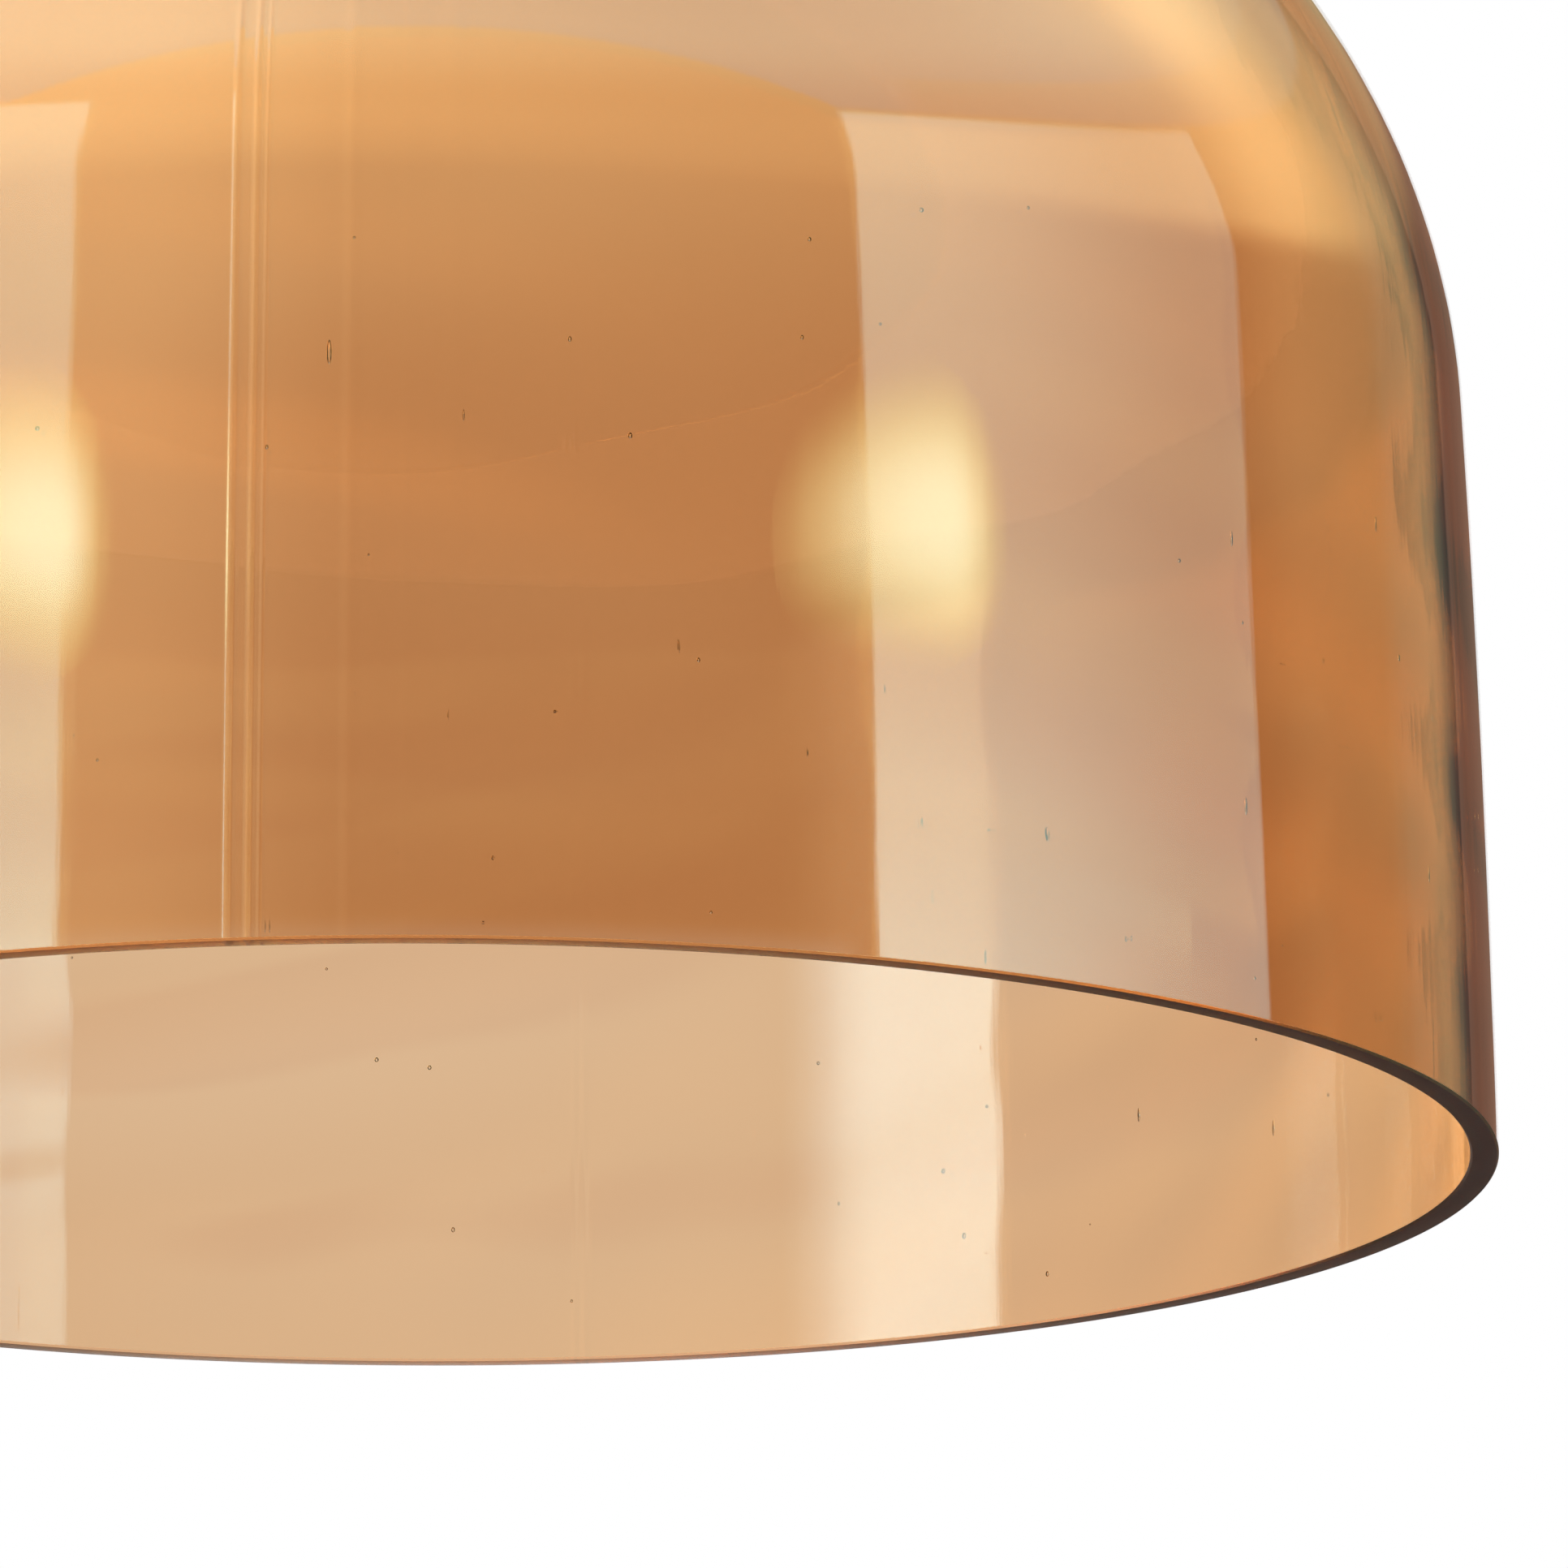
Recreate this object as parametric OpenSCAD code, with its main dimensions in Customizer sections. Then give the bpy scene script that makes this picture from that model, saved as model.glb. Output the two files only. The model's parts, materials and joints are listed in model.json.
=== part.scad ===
// Pendant lamp head: a blown amber glass bell shade, clamped by a threaded ring to an E27
// lampholder that hangs in a brass cup, with a cord gland on top and a small globe bulb inside.
// Origin: centre of the cord hole, at the top face of the cord gland. +Z is up, along the cord.

/* [Glass shade] */
// Outer diameter at the open mouth
shade_mouth_d = 300; // [285:1:330]
// Height of the skirt, from the rim to the dome
skirt_h = 107; // [80:1:120]
// How much narrower the radius is at the top of the skirt than at the rim
skirt_taper = 3.7; // [1:0.1:8]
// Upright semi-axis of the dome's ellipse
dome_rise = 122; // [110:1:150]
// Wall at the ground rim
rim_wall = 4; // [3:0.1:5]
// Wall of the dome
dome_wall = 3.6; // [3:0.1:5]
// Bevel on both edges of the ground rim
rim_bevel = 0.3; // [0.2:0.1:0.8]
// Radius of the flat seat round the hole in the top
seat_r = 37; // [36:0.5:42]
// Diameter of the hole in the top
neck_hole_d = 43; // [42:0.5:46]

/* [Cord gland] */
// Diameter of the turned body
gland_d = 16; // [15:0.5:20]
// Height of the gland above its washer
gland_h = 24; // [22:0.5:30]
// Diameter of the hole that the cord runs through
cord_hole_d = 7; // [6.8:0.1:7.2]
// Thickness of the washer under the gland
gland_washer_t = 1.5; // [1:0.1:2]

/* [Cup] */
// Outer diameter of the cup over the lampholder
cup_d = 64; // [60:0.5:66]
// Height of the cup
cup_h = 66; // [64:0.5:70]
// Sheet thickness of the cup
cup_wall = 1.2; // [0.8:0.1:1.4]
// Radius of the cup's top edge
cup_corner_r = 7; // [4:0.5:10]

/* [Lampholder and ring] */
// Diameter over the thread of the lampholder barrel
barrel_d = 40; // [39:0.1:40.4]
// Wall of the barrel
barrel_wall = 1.8; // [1.4:0.1:1.9]
// Pitch of the thread that carries the shade ring
ring_pitch = 2.5; // [2:0.1:3]
// Outer diameter of the shade ring's flange
ring_flange_d = 56; // [54:0.5:58]
// Thickness of the gasket between cup and glass
upper_gasket_t = 2; // [1:0.1:3]
// Thickness of the gasket between glass and ring
lower_gasket_t = 1.5; // [1:0.1:2.5]

/* [Bulb] */
// Diameter of the bulb's globe
bulb_d = 45; // [42:0.5:46]
// Outer diameter of the bulb's screw cap
bulb_cap_d = 26.2; // [26:0.05:26.4]
// Number of light filaments
filament_count = 4; // [3:1:6]

/* [Hidden] */
$fn = 96;

// Clearances and small sizes that several parts share
fit_gap = 0.05;
thread_gap = 0.15;
loose_gap = 0.3;
nipple_r = 5;
nipple_bore_r = 3.8;
arc_steps = 24;
skirt_steps = 10;

// Form of the shade's outside. The skirt's radius narrows slowly at first, then faster. The dome
// is part of an ellipse that takes over from the skirt at the same slope: dome_start is the
// ellipse's angle there, dome_a its level semi-axis, and dome_centre_h the height of its centre.
mouth_r = shade_mouth_d / 2;
shoulder_r = mouth_r - skirt_taper;
flare_power = 1.5;
slope_ratio = flare_power * skirt_taper / skirt_h * dome_rise / shoulder_r;
dome_start = asin((sqrt(1 + 4 * pow(slope_ratio, 2)) - 1) / (2 * slope_ratio));
dome_a = shoulder_r / cos(dome_start);
dome_centre_h = skirt_h - dome_rise * sin(dome_start);
seat_h = dome_centre_h + ellipse_h(seat_r, dome_a, dome_rise);
under_seat_h = dome_centre_h + ellipse_h(seat_r, dome_a - dome_wall, dome_rise - dome_wall);
function skirt_r(h) = mouth_r - skirt_taper * pow(h / skirt_h, flare_power);
function skirt_wall(h) = rim_wall + (dome_wall - rim_wall) * h / skirt_h;

// Levels, from the cord hole down
gland_base_z = -gland_h;
cup_top_z = gland_base_z - gland_washer_t;
cup_base_z = cup_top_z - cup_h;
seat_z = cup_base_z - upper_gasket_t;
rim_z = seat_z - seat_h;
under_seat_z = rim_z + under_seat_h;
ring_top_z = under_seat_z - lower_gasket_t;
ring_h = 6;
ring_flange_t = 2.2;
barrel_mouth_z = ring_top_z - 3 * ring_pitch;
barrel_top_z = barrel_mouth_z + 48.5;
block_h = 10;
block_top_z = barrel_top_z - 4;
block_base_z = block_top_z - block_h;
tag_z = cup_top_z - cup_wall;
tag_t = 0.8;
lock_washer_t = 1;
lock_nut_t = 4;
nut_base_z = tag_z - tag_t - lock_washer_t - lock_nut_t;
boss_top_z = nut_base_z - 0.5;
boss_r = 8.5;
boss_h = 5;
dome_top_z = boss_top_z - boss_h;
barrel_r = barrel_d / 2;
barrel_bore_r = barrel_r - barrel_wall;
shell_bore_r = 13.4;
shell_wall = 0.4;
shell_h = 26;
shell_hole_r = 8.8;
recess_h = 2.5;
strap_t = 0.6;
foot_t = 0.8;
tip_z = block_base_z - 2;
bulb_r = bulb_d / 2;
bulb_cap_r = bulb_cap_d / 2;
cap_top_z = tip_z - 5;
cap_base_z = tip_z - 25;
globe_z = barrel_mouth_z - 14.5;
globe_wall = 0.8;
bulb_cap_wall = 0.35;
cap_shoulder = 1.6;
neck_r = bulb_cap_r - bulb_cap_wall - fit_gap;
neck_fillet_r = 5;
stem_top_z = cap_base_z + 4;
stem_tip_z = globe_z + 8;

// Height of an ellipse with semi-axes a and b at the distance r from its centre line
function ellipse_h(r, a, b) = b * sqrt(1 - pow(r / a, 2));

// Points of an arc about c, from angle a0 to a1; the semi-axes are ra along X and rb along Y
function arc_pts(c, ra, rb, a0, a1, n) =
    [for (i = [0:n]) let (a = a0 + (a1 - a0) * i / n) c + [ra * cos(a), rb * sin(a)]];

// ---------- Glass shade and its gaskets ----------

module glass_shade() {
    inner_a = dome_a - dome_wall;
    inner_b = dome_rise - dome_wall;
    inner_start = asin(dome_rise / inner_b * sin(dome_start));
    neck_r_glass = neck_hole_d / 2;
    centre = [0, dome_centre_h];
    outer_skirt = [for (i = [1:skirt_steps - 1]) let (h = skirt_h * i / skirt_steps) [skirt_r(h), h]];
    inner_skirt = [for (i = [skirt_steps - 1:-1:1]) let (h = skirt_h * i / skirt_steps)
        [skirt_r(h) - skirt_wall(h), h]];
    color([0.80, 0.47, 0.18, 0.5])
    translate([0, 0, rim_z])
    rotate_extrude()
    polygon(concat(
        [[mouth_r - rim_bevel, 0], [mouth_r, rim_bevel]],
        outer_skirt,
        arc_pts(centre, dome_a, dome_rise, dome_start, acos(seat_r / dome_a), arc_steps),
        [[neck_r_glass, seat_h], [neck_r_glass, under_seat_h]],
        arc_pts(centre, inner_a, inner_b, acos(seat_r / inner_a), inner_start, arc_steps),
        inner_skirt,
        [[mouth_r - rim_wall, rim_bevel], [mouth_r - rim_wall + rim_bevel, 0]]
    ));
}

module flat_ring(outer_r, inner_r, top_z, t) {
    translate([0, 0, top_z - t])
    difference() {
        cylinder(h = t, r = outer_r);
        translate([0, 0, -1]) cylinder(h = t + 2, r = inner_r);
    }
}

module upper_gasket() {
    color([0.12, 0.12, 0.12]) flat_ring(cup_d / 2 + 2, neck_hole_d / 2 + 6, cup_base_z, upper_gasket_t);
}

module lower_gasket() {
    color([0.12, 0.12, 0.12]) flat_ring(ring_flange_d / 2 + 1, barrel_r + 0.6, under_seat_z, lower_gasket_t);
}

module shade_ring() {
    grip_notches = 16;
    notch_r = 2;
    bore_r = barrel_r + thread_gap;
    color([0.10, 0.10, 0.10])
    difference() {
        translate([0, 0, ring_top_z])
        rotate_extrude()
        polygon([
            [bore_r, 0], [ring_flange_d / 2, 0], [ring_flange_d / 2, -ring_flange_t],
            [barrel_r + 4, -ring_flange_t - 0.8], [barrel_r + 4, -ring_h + 0.6],
            [barrel_r + 3.4, -ring_h], [bore_r, -ring_h]
        ]);
        for (i = [0:grip_notches - 1])
            rotate(i * 360 / grip_notches)
            translate([ring_flange_d / 2 + 0.8, 0, ring_top_z - ring_h])
            cylinder(h = ring_h + 1, r = notch_r, $fn = 32);
    }
}

// ---------- Cord gland and its clamping screw ----------

clamp_z = -6;
clamp_r = 2;
clamp_x = 4.8;
clamp_head_x = 11.4;

module cord_gland() {
    bore_r = cord_hole_d / 2;
    socket_r = nipple_r + fit_gap;
    socket_top = -11.5;
    body_r = gland_d / 2;
    color([0.78, 0.60, 0.30])
    difference() {
        rotate_extrude()
        polygon(concat(
            [[bore_r, 0], [body_r - 1.2, 0], [body_r, -1.2]],
            [[body_r, gland_base_z + 5], [body_r - 0.8, gland_base_z + 4.2]],
            [[body_r - 0.8, gland_base_z + 3.4], [body_r + 2, gland_base_z + 2]],
            [[body_r + 2, gland_base_z], [socket_r, gland_base_z]],
            [[socket_r, socket_top], [bore_r, socket_top]]
        ));
        translate([bore_r - 1, 0, clamp_z])
        rotate([0, 90, 0])
        cylinder(h = body_r, r = clamp_r + fit_gap, $fn = 48);
    }
}

module gland_screw() {
    slot_w = 0.9;
    slot_h = 1.4;
    head_r = 3.6;
    head_l = 4;
    color([0.78, 0.60, 0.30])
    translate([0, 0, clamp_z])
    rotate([0, 90, 0])
    difference() {
        union() {
            translate([0, 0, clamp_x]) cylinder(h = clamp_head_x - clamp_x, r = clamp_r, $fn = 48);
            translate([0, 0, clamp_head_x]) cylinder(h = head_l, r = head_r, $fn = 48);
        }
        translate([-slot_w / 2, -head_r - 1, clamp_head_x + head_l - slot_h])
        cube([slot_w, 2 * head_r + 2, slot_h + 1]);
    }
}

module gland_screw_tip() {
    color([0.92, 0.91, 0.87])
    translate([cord_hole_d / 2 + 0.1, 0, clamp_z])
    rotate([0, 90, 0])
    cylinder(h = clamp_x - cord_hole_d / 2 - 0.1, r = clamp_r * 0.65, $fn = 48);
}

module gland_washer() {
    color([0.78, 0.60, 0.30]) flat_ring(gland_d / 2 + 3, nipple_r + loose_gap, gland_base_z, gland_washer_t);
}

// ---------- Cup, nipple and what is threaded on it ----------

module top_cup() {
    outer_r = cup_d / 2;
    hole_r = nipple_r + loose_gap;
    corner = [outer_r - cup_corner_r, cup_top_z - cup_corner_r];
    inner_corner_r = cup_corner_r - cup_wall;
    lip_r = 0.8;
    color([0.78, 0.60, 0.30])
    rotate_extrude()
    polygon(concat(
        [[hole_r, cup_top_z - cup_wall], [hole_r, cup_top_z]],
        arc_pts(corner, cup_corner_r, cup_corner_r, 90, 0, 8),
        arc_pts([outer_r, cup_base_z + lip_r], lip_r, lip_r, 90, -90, 6),
        [[outer_r - cup_wall, cup_base_z]],
        arc_pts(corner, inner_corner_r, inner_corner_r, 0, 90, 8)
    ));
}

module threaded_nipple() {
    top_z = -12;
    length = 31;
    color([0.80, 0.66, 0.38]) flat_ring(nipple_r, nipple_bore_r, top_z, length);
}

module earth_tag() {
    tab_l = 15;
    tab_w = 7;
    color([0.80, 0.66, 0.38])
    translate([0, 0, tag_z - tag_t])
    linear_extrude(tag_t)
    difference() {
        union() {
            circle(r = 8.5);
            translate([0, -tab_w / 2]) square([tab_l, tab_w]);
            translate([tab_l, 0]) circle(r = tab_w / 2);
        }
        circle(r = nipple_r + loose_gap);
        translate([tab_l, 0]) circle(r = 1.8);
    }
}

module pan_screw(r, length, head_r, head_t) {
    slot_w = 0.7;
    slot_h = head_t * 0.5;
    difference() {
        union() {
            cylinder(h = length, r = r, $fn = 48);
            translate([0, 0, -head_t]) cylinder(h = head_t, r = head_r, $fn = 48);
        }
        translate([-slot_w / 2, -head_r - 1, -head_t - 1]) cube([slot_w, 2 * head_r + 2, slot_h + 1]);
    }
}

module earth_screw() {
    color([0.45, 0.62, 0.35])
    translate([15, 0, tag_z - tag_t])
    pan_screw(1.7, tag_t, 3.2, 1.8);
}

module lock_washer() {
    teeth = 12;
    color([0.72, 0.72, 0.72])
    translate([0, 0, tag_z - tag_t - lock_washer_t])
    linear_extrude(lock_washer_t)
    difference() {
        circle(r = 9);
        circle(r = nipple_r + loose_gap);
        for (i = [0:teeth - 1]) rotate(i * 360 / teeth) translate([9, 0]) circle(r = 0.9, $fn = 24);
    }
}

module lock_nut() {
    across_flats = 14;
    color([0.80, 0.66, 0.38])
    translate([0, 0, nut_base_z])
    difference() {
        cylinder(h = lock_nut_t, r = across_flats / 2 / cos(30), $fn = 6);
        translate([0, 0, -1]) cylinder(h = lock_nut_t + 2, r = nipple_r + fit_gap);
    }
}

// ---------- Lampholder ----------

lock_screw_z = boss_top_z - 2.4;
lock_screw_r = 1.5;

module holder_cap() {
    wall = 2;
    spigot_h = 4;
    spigot_r = barrel_bore_r - 0.1;
    dome_h = dome_top_z - barrel_top_z;
    boss_hole_r = nipple_r + fit_gap;
    color([0.09, 0.09, 0.09])
    difference() {
        rotate_extrude()
        polygon(concat(
            [[boss_hole_r, boss_top_z], [boss_r, boss_top_z]],
            arc_pts([boss_r, barrel_top_z], barrel_r - boss_r, dome_h, 90, 0, 12),
            [[spigot_r, barrel_top_z], [spigot_r, barrel_top_z - spigot_h]],
            [[spigot_r - wall, barrel_top_z - spigot_h]],
            arc_pts([boss_r, barrel_top_z], spigot_r - wall - boss_r, dome_h - wall, 0, 90, 12),
            [[boss_hole_r, dome_top_z - wall]]
        ));
        translate([nipple_r - 1, 0, lock_screw_z])
        rotate([0, 90, 0])
        cylinder(h = boss_r, r = lock_screw_r + fit_gap, $fn = 48);
    }
}

module holder_lock_screw() {
    color([0.72, 0.72, 0.72])
    translate([boss_r + 0.6, 0, lock_screw_z])
    rotate([0, -90, 0])
    pan_screw(lock_screw_r, boss_r + 0.6 - nipple_r, 2.6, 1.4);
}

module holder_barrel() {
    thread_depth = 0.8;
    ledge_r = 16.2;
    ledge_h = 1.5;
    turns = 5;
    thread_pts = [for (i = [0:turns - 1]) let (z = barrel_mouth_z + 0.8 + i * ring_pitch)
        each [
            [barrel_r - thread_depth, z], [barrel_r, z + ring_pitch * 0.35],
            [barrel_r, z + ring_pitch * 0.6], [barrel_r - thread_depth, z + ring_pitch * 0.95]
        ]];
    color([0.09, 0.09, 0.09])
    rotate_extrude()
    polygon(concat(
        [[barrel_bore_r + 0.4, barrel_mouth_z], [barrel_r - thread_depth, barrel_mouth_z]],
        thread_pts,
        [[barrel_r, barrel_mouth_z + 1.6 + turns * ring_pitch], [barrel_r, barrel_top_z]],
        [[barrel_bore_r, barrel_top_z], [barrel_bore_r, block_base_z], [ledge_r, block_base_z]],
        [[ledge_r, block_base_z - ledge_h], [barrel_bore_r, block_base_z - 2 * ledge_h]],
        [[barrel_bore_r, barrel_mouth_z + 1]]
    ));
}

rivet_r = 0.8;
rivet_head_r = 1.3;
shell_rivet_y = 11;
foot_x = -6.4;
terminal_x = 11;
strap_top_z = block_top_z + strap_t;

module contact_block() {
    color([0.93, 0.92, 0.88])
    difference() {
        translate([0, 0, block_base_z]) cylinder(h = block_h, r = barrel_bore_r - 0.3);
        translate([0, 0, block_base_z - 1]) cylinder(h = recess_h + 1, r = shell_hole_r);
        for (p = [[0, shell_rivet_y], [0, -shell_rivet_y], [foot_x, 0]])
            translate([p[0], p[1], block_base_z - 1])
            cylinder(h = block_h + 2, r = rivet_r + fit_gap, $fn = 32);
    }
}

module screw_shell() {
    color([0.80, 0.66, 0.38])
    difference() {
        union() {
            flat_ring(shell_bore_r + shell_wall, shell_bore_r, block_base_z, shell_h);
            flat_ring(shell_bore_r + 0.2, shell_hole_r, block_base_z, shell_wall);
        }
        for (s = [-1, 1])
            translate([0, s * shell_rivet_y, block_base_z - 1])
            cylinder(h = 2, r = rivet_r + fit_gap, $fn = 32);
    }
}

// A hollow-set rivet: a head below base_z, a shank, and the set end on top of the strap
module rivet(base_z) {
    head_t = 0.6;
    set_t = 0.5;
    translate([0, 0, base_z - head_t]) cylinder(h = head_t, r = rivet_head_r, $fn = 32);
    translate([0, 0, base_z]) cylinder(h = strap_top_z - base_z, r = rivet_r, $fn = 32);
    translate([0, 0, strap_top_z]) cylinder(h = set_t, r = rivet_head_r, $fn = 32);
}

module shell_rivets() {
    color([0.80, 0.66, 0.38])
    for (s = [-1, 1]) translate([0, s * shell_rivet_y, 0]) rivet(block_base_z - shell_wall);
}

// The brass strap on top of the block that joins the shell's rivets to one terminal
module neutral_strap() {
    color([0.80, 0.66, 0.38])
    translate([0, 0, block_top_z])
    linear_extrude(strap_t)
    difference() {
        union() {
            translate([3, -shell_rivet_y - 2]) square([4, 2 * shell_rivet_y + 4]);
            for (s = [-1, 1]) translate([-1.6, s * shell_rivet_y - 2]) square([6, 4]);
            translate([4, -2.5]) square([terminal_x - 1, 5]);
        }
        for (s = [-1, 1]) translate([0, s * shell_rivet_y]) circle(r = rivet_r + fit_gap, $fn = 32);
    }
}

module live_strap() {
    color([0.80, 0.66, 0.38])
    translate([0, 0, block_top_z])
    linear_extrude(strap_t)
    difference() {
        translate([-terminal_x - 3, -2.5]) square([terminal_x - 2, 5]);
        translate([foot_x, 0]) circle(r = rivet_r + fit_gap, $fn = 32);
    }
}

// The fixed end of the sprung tongue, riveted under the block
module contact_foot() {
    color([0.76, 0.52, 0.30])
    difference() {
        translate([-8.2, -2, block_base_z + recess_h - foot_t]) cube([3, 4, foot_t]);
        translate([foot_x, 0, block_base_z]) cylinder(h = recess_h + 1, r = rivet_r + fit_gap, $fn = 32);
    }
}

module foot_rivet() {
    color([0.80, 0.66, 0.38])
    translate([foot_x, 0, 0])
    rivet(block_base_z + recess_h - foot_t);
}

// The sprung tongue that presses on the bulb, from its root at the foot to its tip on the axis
module centre_contact() {
    leaf_t = 0.5;
    leaf_w = 4;
    root = [-5.1, block_base_z + recess_h - foot_t];
    tip = [1.5, tip_z + leaf_t];
    turn_up = [2, 0.4];
    color([0.76, 0.52, 0.30])
    translate([0, leaf_w / 2, 0])
    rotate([90, 0, 0])
    linear_extrude(leaf_w)
    polygon([
        root, root + [0, leaf_t], tip, tip + turn_up,
        tip + turn_up - [0, leaf_t], tip - [0, leaf_t]
    ]);
}

terminal_size = [6, 7, 7];

module terminal_blocks() {
    wire_hole_r = 1.3;
    screw_hole_r = 1.5;
    wire_hole_h = 2.4;
    color([0.80, 0.66, 0.38])
    for (s = [-1, 1])
        translate([s * terminal_x, 0, strap_top_z])
        difference() {
            translate([-terminal_size[0] / 2, -terminal_size[1] / 2, 0]) cube(terminal_size);
            translate([0, terminal_size[1], wire_hole_h])
            rotate([90, 0, 0])
            cylinder(h = 2 * terminal_size[1], r = wire_hole_r, $fn = 32);
            translate([0, 0, wire_hole_h]) cylinder(h = terminal_size[2], r = screw_hole_r, $fn = 32);
        }
}

module terminal_screws() {
    color([0.72, 0.72, 0.72])
    for (s = [-1, 1])
        translate([s * terminal_x, 0, strap_top_z + terminal_size[2]])
        mirror([0, 0, 1])
        pan_screw(1.45, 3, 2.3, 1.4);
}

// ---------- Bulb ----------

function globe_outline(r) =
    let (
        fillet = neck_fillet_r + (bulb_r - r) ,
        neck = neck_r - (bulb_r - r),
        rise = sqrt(pow(r + fillet, 2) - pow(neck + fillet, 2)),
        touch = atan2(rise, neck + fillet)
    )
    concat(
        arc_pts([0, globe_z], r, r, -90, touch, 32),
        arc_pts([neck + fillet, globe_z + rise], fillet, fillet, 180 + touch, 180, 8),
        [[neck, stem_top_z]]
    );

module bulb_globe() {
    outer = globe_outline(bulb_r);
    inner = globe_outline(bulb_r - globe_wall);
    color([0.92, 0.90, 0.84, 0.4])
    rotate_extrude()
    polygon(concat(outer, [for (i = [len(inner) - 1:-1:0]) inner[i]]));
}

module bulb_cap() {
    wall = bulb_cap_wall;
    shoulder = cap_shoulder;
    color([0.78, 0.76, 0.72])
    rotate_extrude()
    polygon([
        [bulb_cap_r, cap_base_z], [bulb_cap_r, cap_top_z - shoulder],
        [bulb_cap_r - shoulder, cap_top_z], [bulb_cap_r - shoulder - wall, cap_top_z],
        [bulb_cap_r - wall, cap_top_z - shoulder], [bulb_cap_r - wall, cap_base_z]
    ]);
}

module bulb_insulator() {
    outer_r = bulb_cap_r - cap_shoulder;
    tip_r = 5;
    color([0.07, 0.07, 0.08])
    difference() {
        translate([0, 0, cap_top_z]) cylinder(h = 4, r1 = outer_r, r2 = tip_r);
        translate([0, 0, cap_top_z - 1]) cylinder(h = 6, r = 1);
    }
}

module bulb_tip_contact() {
    color([0.70, 0.69, 0.66])
    translate([0, 0, cap_top_z + 4])
    rotate_extrude()
    polygon([[0, 0], [4.6, 0], [4.2, 0.5], [3, 0.9], [0, 1]]);
}

driver_size = [14, 1.6, 12];

module bulb_driver() {
    color([0.16, 0.36, 0.22])
    translate([-driver_size[0] / 2, -driver_size[1] / 2, cap_top_z - driver_size[2]]) cube(driver_size);
}

module bulb_stem() {
    flare_r = neck_r - globe_wall;
    tube_r = 3.2;
    wall = 0.9;
    color([0.90, 0.91, 0.90, 0.5])
    rotate_extrude()
    polygon([
        [flare_r, stem_top_z], [flare_r - 1.4, stem_top_z - 2.5], [tube_r, stem_top_z - 9],
        [tube_r, stem_tip_z + 2], [tube_r - 1, stem_tip_z], [0, stem_tip_z], [0, stem_tip_z + 3],
        [tube_r - wall, stem_tip_z + 4], [tube_r - wall, stem_top_z - 8.5],
        [flare_r - 2.4, stem_top_z - 2], [flare_r - 1, stem_top_z]
    ]);
}

filament_r = 0.9;
filament_top = [5, stem_tip_z + 0.5];
filament_base = [8.6, globe_z - 14];
wire_r = 0.3;

module rod_between(a, b, r) {
    d = b - a;
    translate(a)
    rotate([0, acos(d[2] / norm(d)), atan2(d[1], d[0])])
    cylinder(h = norm(d), r = r, $fn = 24);
}

module each_filament() {
    for (i = [0:filament_count - 1]) rotate(45 + i * 360 / filament_count) children();
}

module bulb_leads() {
    post_r = 0.5;
    post_base = [0, 0, filament_base[1] - 1];
    lead_x = 0.9;
    color([0.70, 0.68, 0.64]) {
        rod_between([0, 0, stem_tip_z], post_base, post_r);
        for (s = [-1, 1])
            rod_between([s * lead_x, 0, stem_tip_z + 3], [s * lead_x, 0, cap_top_z - driver_size[2]], wire_r);
        each_filament() {
            rod_between(post_base + [0, 0, 0.4], [filament_base[0], 0, filament_base[1]], wire_r);
            rod_between([0, 0, stem_tip_z - 1.5], [filament_top[0], 0, filament_top[1]], wire_r);
        }
    }
}

module bulb_filaments() {
    color([0.95, 0.78, 0.35])
    each_filament()
    rod_between([filament_top[0], 0, filament_top[1]], [filament_base[0], 0, filament_base[1]], filament_r);
}

glass_shade();
upper_gasket();
lower_gasket();
shade_ring();
cord_gland();
gland_screw();
gland_screw_tip();
gland_washer();
top_cup();
threaded_nipple();
earth_tag();
earth_screw();
lock_washer();
lock_nut();
holder_cap();
holder_lock_screw();
holder_barrel();
contact_block();
screw_shell();
shell_rivets();
neutral_strap();
live_strap();
contact_foot();
foot_rivet();
centre_contact();
terminal_blocks();
terminal_screws();
bulb_globe();
bulb_cap();
bulb_insulator();
bulb_tip_contact();
bulb_driver();
bulb_stem();
bulb_leads();
bulb_filaments();
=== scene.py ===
# %% [markdown]
# # Amber glass pendant lamp head
#
# The lamp hangs by its cord gland. A blown amber bell is clamped between a brass cup and a
# threaded ring, and a filament bulb sits in its neck. The measured parts are loaded as a fixed
# frame: this notebook adds the surfaces, the finishes, the studio and the camera.
# Everything is in metres, +Z is up, and the origin is where the cord enters the gland.

# %% Load the frame
import json
import math
import random

import bmesh
import bpy
from mathutils import Matrix, Vector


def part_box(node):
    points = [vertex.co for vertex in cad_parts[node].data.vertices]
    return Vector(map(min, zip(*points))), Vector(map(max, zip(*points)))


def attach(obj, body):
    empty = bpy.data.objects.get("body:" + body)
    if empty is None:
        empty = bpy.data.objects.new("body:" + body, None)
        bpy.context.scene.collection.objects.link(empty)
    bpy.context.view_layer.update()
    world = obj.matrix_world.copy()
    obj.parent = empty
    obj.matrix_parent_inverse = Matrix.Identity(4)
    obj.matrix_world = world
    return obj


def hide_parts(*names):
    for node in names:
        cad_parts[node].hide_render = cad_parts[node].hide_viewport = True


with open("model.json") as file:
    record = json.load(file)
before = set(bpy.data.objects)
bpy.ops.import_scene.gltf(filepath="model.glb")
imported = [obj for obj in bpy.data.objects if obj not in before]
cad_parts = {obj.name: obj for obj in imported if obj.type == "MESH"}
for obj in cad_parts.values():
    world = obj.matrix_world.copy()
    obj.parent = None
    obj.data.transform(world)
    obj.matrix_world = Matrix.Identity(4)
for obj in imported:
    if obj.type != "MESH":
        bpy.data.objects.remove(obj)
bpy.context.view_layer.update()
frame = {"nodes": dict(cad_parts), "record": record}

nodes = frame["nodes"]

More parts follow.
